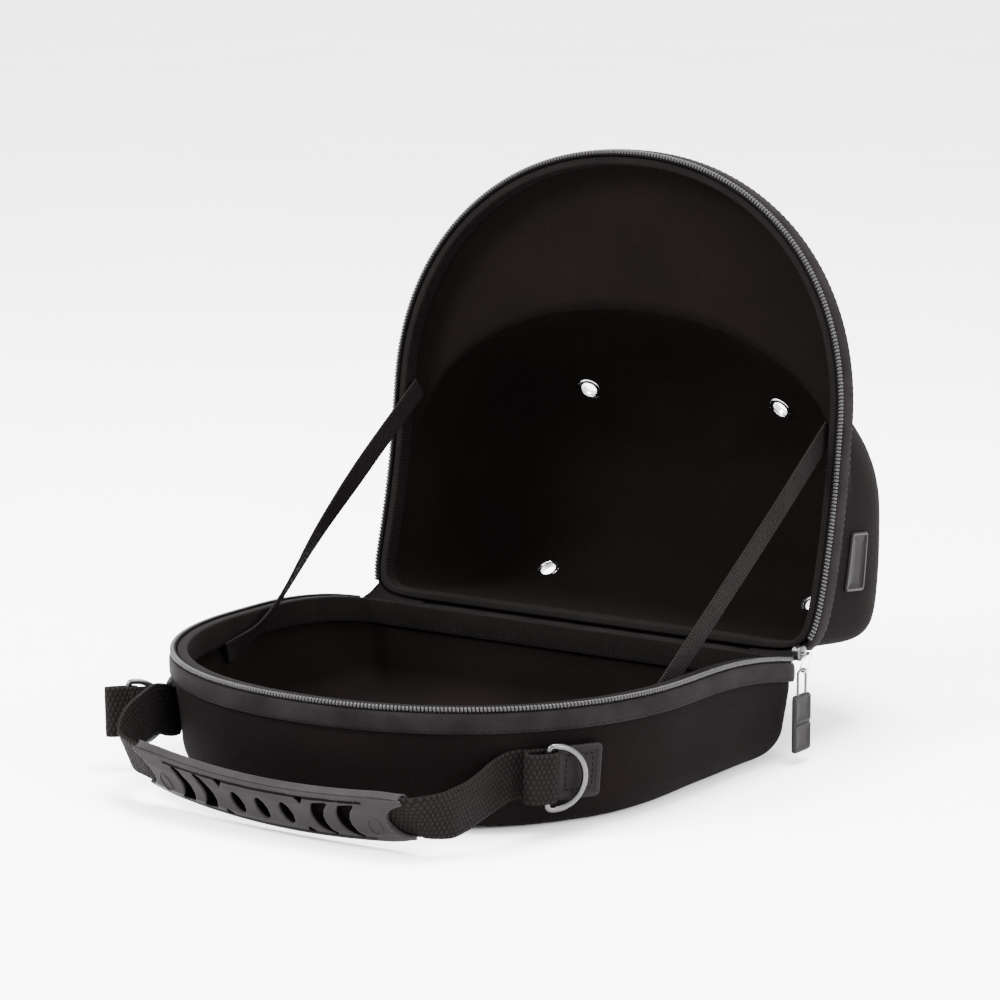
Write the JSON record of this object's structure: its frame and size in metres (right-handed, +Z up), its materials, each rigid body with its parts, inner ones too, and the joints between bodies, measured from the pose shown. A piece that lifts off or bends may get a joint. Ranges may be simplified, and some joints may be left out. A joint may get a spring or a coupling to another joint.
{
  "type": "cap carrier case",
  "caption": "Hard-sided zippered carrier case for a baseball cap, standing open, with a domed ventilated lid, stay straps, a moulded grip on webbing and side rings.",
  "frame": {"origin": "on the underside of the base, below the widest point of its rim", "axes": "+X to the case's right seen from the handle side, +Y from the handle at the front to the hinge at the back, +Z up"},
  "size_m": [0.2698, 0.3819, 0.2807],
  "materials": {
    "shell_cloth": "matte woven cloth over moulded foam",
    "satin_band": "smooth satin cloth",
    "zipper": "moulded coil teeth",
    "webbing": "ribbed woven webbing",
    "nickel": "polished nickel",
    "grip_rubber": "moulded, slightly glossy",
    "pull_rubber": "moulded, satin",
    "gunmetal": "plated, smooth"
  },
  "bodies": {
    "case": {"base_shell": "shell_cloth", "lid_shell": "shell_cloth", "base_band": "satin_band", "lid_band": "satin_band", "base_zipper": "zipper", "lid_zipper": "zipper", "base_binding": "webbing", "lid_binding": "webbing", "eyelet_front_right": "nickel", "eyelet_front_left": "nickel", "eyelet_back_right": "nickel", "eyelet_back_left": "nickel", "label_patch": "webbing", "hinge_tape": "shell_cloth", "stay_strap_right": "webbing", "stay_strap_left": "webbing", "handle_grip": "grip_rubber", "webbing_right": "webbing", "webbing_left": "webbing", "patch_right": "grip_rubber", "patch_left": "grip_rubber", "ring_loop_right": "webbing", "ring_loop_left": "webbing", "zip_slider": "gunmetal"},
    "ring_right": {"d_ring_right": "gunmetal"},
    "ring_left": {"d_ring_left": "gunmetal"},
    "pull": {"pull_link": "nickel", "pull_tag": "pull_rubber"}
  },
  "joints": [
    {"name": "ring_right_swing", "type": "hinge", "parent": "case", "child": "ring_right", "pos_m": [0.10865, -0.08026, 0.02701], "axis": [-0.0843, 0.0696, -0.994], "range_deg": [0, 110]},
    {"name": "ring_left_swing", "type": "hinge", "parent": "case", "child": "ring_left", "pos_m": [-0.12341, -0.08809, 0.02701], "axis": [-0.0813, 0.0732, 0.994], "range_deg": [0, 110]},
    {"name": "pull_swing", "type": "hinge", "parent": "case", "child": "pull", "pos_m": [0.1337, 0.1065, 0.0513], "axis": [0, -1, 0], "range_deg": [0, 100]}
  ]
}
